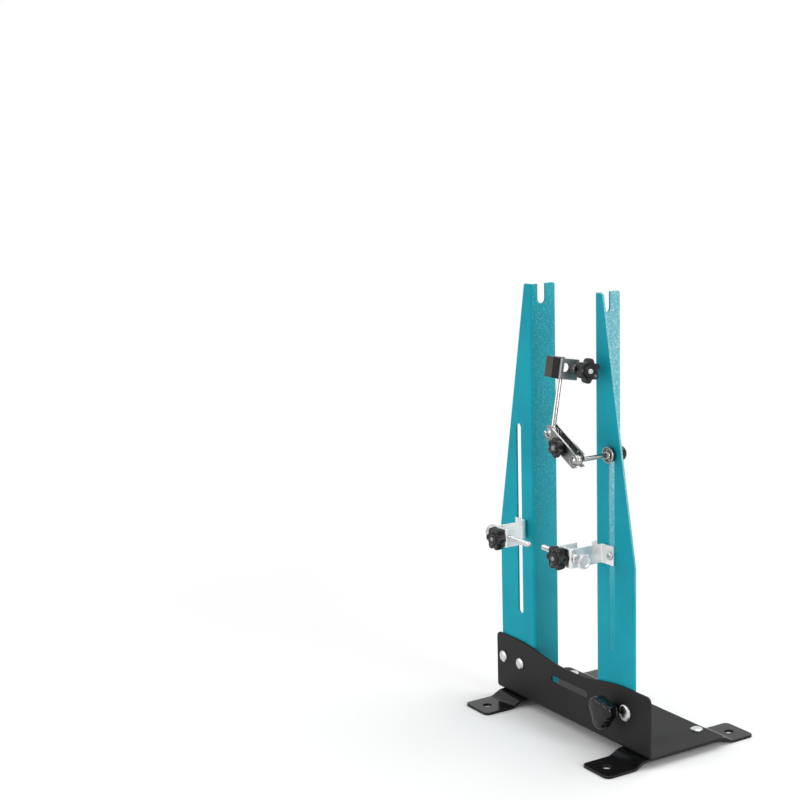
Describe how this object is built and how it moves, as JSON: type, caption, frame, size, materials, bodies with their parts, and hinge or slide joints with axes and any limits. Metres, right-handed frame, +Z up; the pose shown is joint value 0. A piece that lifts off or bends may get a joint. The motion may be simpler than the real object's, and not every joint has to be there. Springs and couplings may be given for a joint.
{
  "type": "bicycle wheel truing stand",
  "caption": "Bench truing stand for bicycle wheels: bent-sheet base, a fixed and a sliding slotted upright, sliding screw gauges and a ball-jointed disc gauge",
  "frame": {"origin": "centre of the four bench-bolt holes, on the bench surface", "axes": "+X to the right along the base, +Y to the back, +Z up"},
  "size_m": [0.264, 0.2001, 0.471],
  "materials": {
    "powder_black": "satin black powder coat",
    "teal_paint": "satin teal powder coat, lightly hammered on the webs",
    "rivet_zinc": "bright zinc domes",
    "strip_zinc": "zinc-plated strip",
    "fastener_zinc": "zinc-plated fasteners",
    "screw_steel": "bright threaded steel",
    "rod_chrome": "polished plated rod",
    "clamp_steel": "dark steel plate with bright edges",
    "head_steel": "plain grey steel sheet",
    "knob_black": "moulded black plastic",
    "washer_black": "matt black washer"
  },
  "bodies": {
    "base": {"base_plate": "powder_black", "left_foot": "powder_black", "right_foot": "powder_black", "foot_rivets": "rivet_zinc", "left_upright": "teal_paint", "upright_rivets": "rivet_zinc", "guide_bolt": "rivet_zinc", "guide_nut": "fastener_zinc", "clamp_nut": "fastener_zinc"},
    "sliding_upright": {"right_upright": "teal_paint"},
    "upright_clamp": {"clamp_knob": "knob_black", "clamp_stud": "fastener_zinc"},
    "left_gauge": {"left_gauge_bracket": "strip_zinc", "left_slot_screw": "fastener_zinc", "left_slot_nut": "fastener_zinc", "left_thread_block": "fastener_zinc", "left_screw_bush": "fastener_zinc"},
    "left_screw": {"left_gauge_screw": "screw_steel"},
    "left_lock": {"left_lock_knob": "knob_black", "left_lock_stud": "fastener_zinc"},
    "right_gauge": {"right_gauge_bracket": "strip_zinc", "right_slot_screw": "fastener_zinc", "right_slot_nut": "fastener_zinc", "right_thread_block": "fastener_zinc", "right_screw_bush": "fastener_zinc"},
    "right_screw": {"right_gauge_screw": "screw_steel"},
    "right_lock": {"right_lock_knob": "knob_black", "right_lock_stud": "fastener_zinc"},
    "arm": {"lower_rod": "rod_chrome", "arm_cup_washer": "rod_chrome", "arm_washer": "washer_black"},
    "arm_lock": {"arm_lock_knob": "knob_black"},
    "ball_clamp": {"ball_clamp_front": "clamp_steel", "ball_clamp_back": "clamp_steel"},
    "ball_clamp_lock": {"ball_clamp_stud": "fastener_zinc", "ball_clamp_knob": "knob_black"},
    "disc_gauge": {"upper_rod": "rod_chrome", "rod_nut": "fastener_zinc", "disc_gauge_bracket": "head_steel", "disc_screw_nut": "fastener_zinc"},
    "disc_screw": {"disc_gauge_screw": "screw_steel", "disc_gauge_knob": "knob_black"}
  },
  "joints": [
    {"name": "upright_slide", "type": "slide", "parent": "base", "child": "sliding_upright", "axis": [1, 0, 0], "range_m": [-0.006, 0.02]},
    {"name": "upright_clamp_turn", "type": "hinge", "parent": "base", "child": "upright_clamp", "pos_m": [0.0765, -0.087, 0.048], "axis": [0, -1, 0], "range_deg": [0, 360]},
    {"name": "left_gauge_slide", "type": "slide", "parent": "base", "child": "left_gauge", "axis": [0, 0, 1], "range_m": [-0.08, 0.095]},
    {"name": "left_screw_feed", "type": "slide", "parent": "left_gauge", "child": "left_screw", "axis": [1, 0, 0], "range_m": [-0.01, 0.005]},
    {"name": "left_lock_turn", "type": "hinge", "parent": "left_gauge", "child": "left_lock", "pos_m": [-0.065, -0.087, 0.204], "axis": [0, -1, 0], "range_deg": [0, 360]},
    {"name": "right_gauge_slide", "type": "slide", "parent": "sliding_upright", "child": "right_gauge", "axis": [0, 0, 1], "range_m": [-0.08, 0.03]},
    {"name": "right_screw_feed", "type": "slide", "parent": "right_gauge", "child": "right_screw", "axis": [-1, 0, 0], "range_m": [-0.01, 0.005]},
    {"name": "right_lock_turn", "type": "hinge", "parent": "right_gauge", "child": "right_lock", "pos_m": [0.042, -0.087, 0.207], "axis": [0, -1, 0], "range_deg": [0, 360]},
    {"name": "arm_slide", "type": "slide", "parent": "sliding_upright", "child": "arm", "axis": [0, 0, 1], "range_m": [-0.02, 0.004]},
    {"name": "arm_lock_turn", "type": "hinge", "parent": "arm", "child": "arm_lock", "pos_m": [0.068, -0.042, 0.311], "axis": [0, 1, 0], "range_deg": [0, 360]},
    {"name": "ball_clamp_swing", "type": "hinge", "parent": "arm", "child": "ball_clamp", "pos_m": [0.068, -0.087, 0.311], "axis": [0, 1, 0], "range_deg": [-15, 15]},
    {"name": "ball_clamp_lock_turn", "type": "hinge", "parent": "ball_clamp", "child": "ball_clamp_lock", "pos_m": [0.0481, -0.087, 0.32203], "axis": [0, -1, 0], "range_deg": [0, 360]},
    {"name": "disc_gauge_swing", "type": "hinge", "parent": "ball_clamp", "child": "disc_gauge", "pos_m": [0.02821, -0.087, 0.33306], "axis": [0, 1, 0], "range_deg": [-15, 15]},
    {"name": "disc_screw_feed", "type": "slide", "parent": "disc_gauge", "child": "disc_screw", "axis": [-1, 0, 0], "range_m": [-0.004, 0.0025]}
  ]
}
